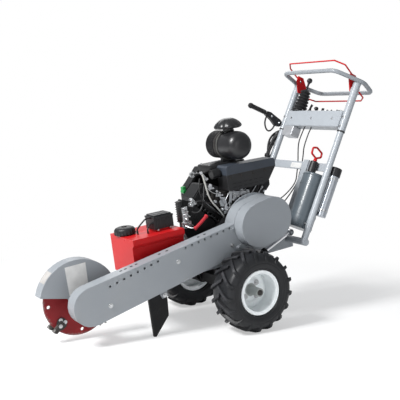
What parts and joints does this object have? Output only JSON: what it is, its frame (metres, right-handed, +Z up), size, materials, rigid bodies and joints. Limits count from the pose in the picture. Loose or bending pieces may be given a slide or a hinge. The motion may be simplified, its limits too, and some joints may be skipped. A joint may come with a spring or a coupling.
{
  "type": "walk-behind stump grinder",
  "caption": "Walk-behind wheeled stump grinder: belt-driven toothed cutter disc on a tilting boom, engine, fuel tank, leaning handle frame with ring grip.",
  "frame": {"origin": "middle of the machine's footprint box, on the ground", "axes": "+Z up, -X towards the cutter, +X towards the handle, -Y towards the belt side"},
  "size_m": [2.0062, 0.851, 1.4515],
  "materials": {
    "silver_paint": "silver-grey gloss paint",
    "red_paint": "red gloss paint",
    "cutter_red": "dark red paint, worn",
    "black_paint": "satin black paint",
    "engine_black": "black painted castings and pressings",
    "moulded_black": "moulded, glossy",
    "cast_aluminium": "bare casting",
    "steel": "machined",
    "chrome": "polished",
    "tank_grey": "blue-grey paint",
    "wheel_white": "white paint",
    "tyre_rubber": "moulded tread",
    "black_rubber": "matt"
  },
  "bodies": {
    "machine": {"main_frame": "silver_paint", "axle_carriage": "black_paint", "fuel_tank": "red_paint", "vapor_canister": "moulded_black", "vent_hose_upper": "black_rubber", "vent_hose_lower": "black_rubber", "crankcase": "engine_black", "front_cylinder": "engine_black", "rear_cylinder": "engine_black", "blower_housing": "engine_black", "engine_shroud": "engine_black", "oil_cooler": "engine_black", "muffler": "engine_black", "top_cover": "engine_black", "air_cleaner_body": "moulded_black", "air_cleaner_cover": "moulded_black", "rain_cap": "moulded_black", "carburettor": "cast_aluminium", "boom_pivot_plate": "silver_paint", "handle_base": "silver_paint", "left_upper_post": "silver_paint", "right_upper_post": "silver_paint", "handle_ring": "silver_paint", "crossbar": "silver_paint", "hydraulic_tank": "tank_grey", "filler_cap": "moulded_black", "control_console": "silver_paint", "valve_block": "steel", "document_tube": "cast_aluminium", "throttle_cable": "black_rubber", "clutch_cable": "black_rubber", "hose_bundle": "black_rubber", "joystick_boot": "black_rubber"},
    "boom": {"boom_housing": "silver_paint", "belt_cover": "silver_paint", "pulley_cover": "silver_paint", "drive_belt": "black_rubber", "cutter_guard": "silver_paint"},
    "cutter": {"cutter_spindle": "steel", "cutter_disc": "cutter_red"},
    "drive": {"drive_shaft": "steel"},
    "leg": {"stand_leg": "black_paint"},
    "lift_barrel": {"lift_cylinder": "black_paint"},
    "lift_piston": {"lift_rod": "chrome"},
    "left_wheel": {"left_tyre": "tyre_rubber", "left_rim": "wheel_white"},
    "right_wheel": {"right_tyre": "tyre_rubber", "right_rim": "wheel_white"},
    "front_grip_bail": {"front_bail": "red_paint"},
    "rear_grip_bail": {"rear_bail": "red_paint"},
    "stick": {"joystick": "moulded_black"},
    "throttle": {"throttle_lever": "moulded_black"},
    "choke": {"choke_knob": "moulded_black"},
    "key": {"ignition_key": "moulded_black"},
    "travel_lever": {"drive_lever": "moulded_black"},
    "oil_dipstick": {"dipstick": "red_paint"},
    "tank_cap": {"fuel_cap": "moulded_black"},
    "document_cap": {"document_tube_cap": "moulded_black"}
  },
  "joints": [
    {"name": "boom_lift", "type": "hinge", "parent": "machine", "child": "boom", "pos_m": [0.1688, -0.15, 0.53007], "axis": [0, 1, 0], "range_deg": [-12, 20]},
    {"name": "cutter_spin", "type": "hinge", "parent": "boom", "child": "cutter", "pos_m": [-0.79402, -0.1, 0.212], "axis": [0, 1, 0], "continuous": true},
    {"name": "drive_spin", "type": "hinge", "parent": "machine", "child": "drive", "pos_m": [0.1688, -0.15, 0.53007], "axis": [0, 1, 0], "continuous": true},
    {"name": "leg_fold", "type": "hinge", "parent": "boom", "child": "leg", "pos_m": [-0.38275, -0.178, 0.21674], "axis": [0, 1, 0], "range_deg": [-80, 0]},
    {"name": "lift_barrel_tilt", "type": "hinge", "parent": "machine", "child": "lift_barrel", "pos_m": [0.11492, -0.195, 0.30993], "axis": [0, 1, 0], "range_deg": [-9, 14]},
    {"name": "lift_rod_slide", "type": "slide", "parent": "lift_barrel", "child": "lift_piston", "axis": [0.8788, 0, 0.4771], "range_m": [-0.066, 0.042]},
    {"name": "left_wheel_spin", "type": "hinge", "parent": "machine", "child": "left_wheel", "pos_m": [0.06872, -0.3335, 0.2165], "axis": [0, 1, 0], "continuous": true},
    {"name": "right_wheel_spin", "type": "hinge", "parent": "machine", "child": "right_wheel", "pos_m": [0.06872, 0.3335, 0.2165], "axis": [0, 1, 0], "continuous": true},
    {"name": "front_bail_squeeze", "type": "hinge", "parent": "machine", "child": "front_grip_bail", "pos_m": [0.82254, 0, 1.36109], "axis": [0, -1, 0], "range_deg": [0, 16], "stiffness_Nm_per_rad": 2.5, "springref_deg": -17.19},
    {"name": "rear_bail_squeeze", "type": "hinge", "parent": "machine", "child": "rear_grip_bail", "pos_m": [0.86275, 0, 1.27667], "axis": [0, -1, 0], "range_deg": [0, 24], "stiffness_Nm_per_rad": 1.5, "springref_deg": -11.46},
    {"name": "joystick_tilt", "type": "hinge", "parent": "machine", "child": "stick", "pos_m": [0.78177, 0.186, 1.15243], "axis": [0, 1, 0], "range_deg": [-12, 12], "stiffness_Nm_per_rad": 8, "deforming": ["joystick_boot"]},
    {"name": "throttle_turn", "type": "hinge", "parent": "machine", "child": "throttle", "pos_m": [0.78771, 0.09, 1.16001], "axis": [0, 1, 0], "range_deg": [-30, 30]},
    {"name": "choke_pull", "type": "slide", "parent": "machine", "child": "choke", "axis": [0.3907, 0, 0.9205], "range_m": [0, 0.02]},
    {"name": "key_turn", "type": "hinge", "parent": "machine", "child": "key", "pos_m": [0.78419, -0.03, 1.15173], "axis": [0.3907, 0, 0.9205], "range_deg": [0, 60]},
    {"name": "travel_lever_swing", "type": "hinge", "parent": "machine", "child": "travel_lever", "pos_m": [0.74053, 0.3, 1.08086], "axis": [0, 1, 0], "range_deg": [-18, 18]},
    {"name": "dipstick_pull", "type": "slide", "parent": "machine", "child": "oil_dipstick", "axis": [0.3907, 0, 0.9205], "range_m": [0, 0.12]},
    {"name": "fuel_cap_turn", "type": "hinge", "parent": "machine", "child": "tank_cap", "pos_m": [-0.48341, 0.055, 0.50758], "axis": [-0.1392, 0, 0.9903], "range_deg": [0, 90]},
    {"name": "document_cap_pull", "type": "slide", "parent": "machine", "child": "document_cap", "axis": [0.3907, 0, 0.9205], "range_m": [0, 0.06]}
  ],
  "couplings": [
    {"joint": "drive_spin", "follows": "cutter_spin", "ratio": 1.5},
    {"joint": "lift_barrel_tilt", "follows": "boom_lift", "ratio": 0.578},
    {"joint": "lift_rod_slide", "follows": "boom_lift", "m_per_rad": -0.173}
  ]
}
